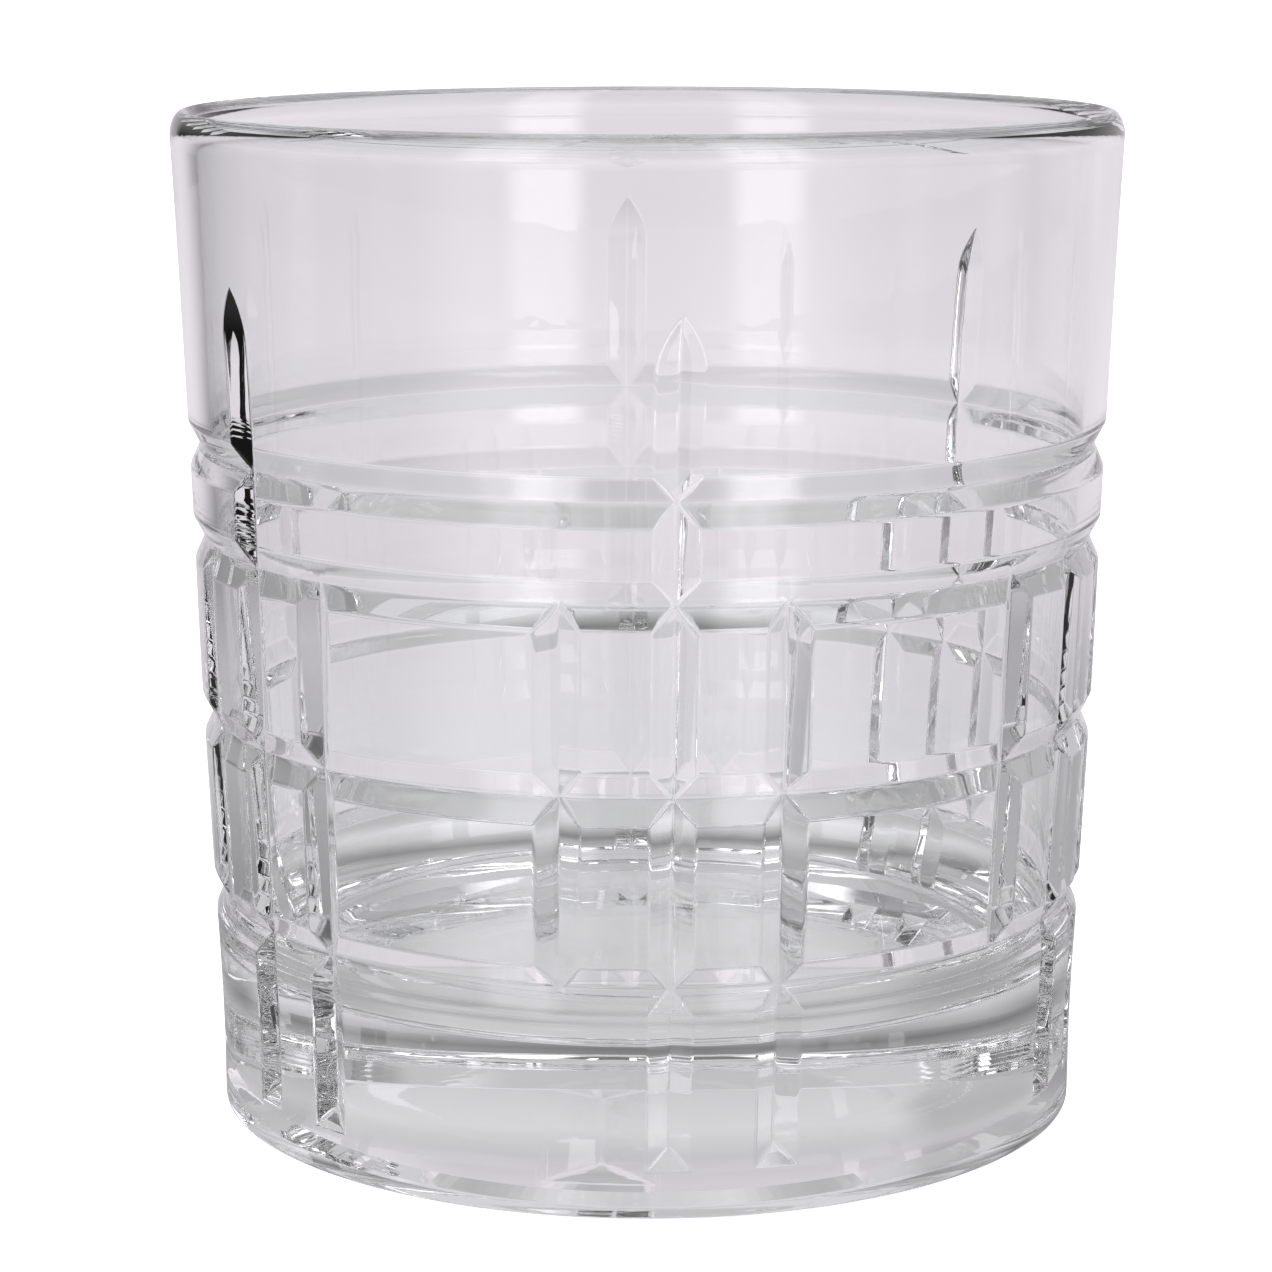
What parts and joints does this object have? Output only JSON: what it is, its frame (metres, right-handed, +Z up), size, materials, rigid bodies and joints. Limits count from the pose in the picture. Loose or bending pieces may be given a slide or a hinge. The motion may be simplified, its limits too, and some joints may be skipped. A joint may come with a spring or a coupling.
{
  "type": "whiskey tumbler",
  "caption": "Heavy-based tapered drinking glass in clear cut glass, with a plaid of V grooves round its lower wall and a plain rim.",
  "frame": {"origin": "centre of the foot, on the surface the glass stands on", "axes": "+Z up along the axis of the glass, -Y towards the viewer in the picture, +X to the viewer's right"},
  "size_m": [0.089, 0.089, 0.0962],
  "materials": {
    "glass": "clear, fire-polished, with polished V cuts"
  },
  "bodies": {
    "root": {"glass_body": "glass"}
  },
  "joints": []
}
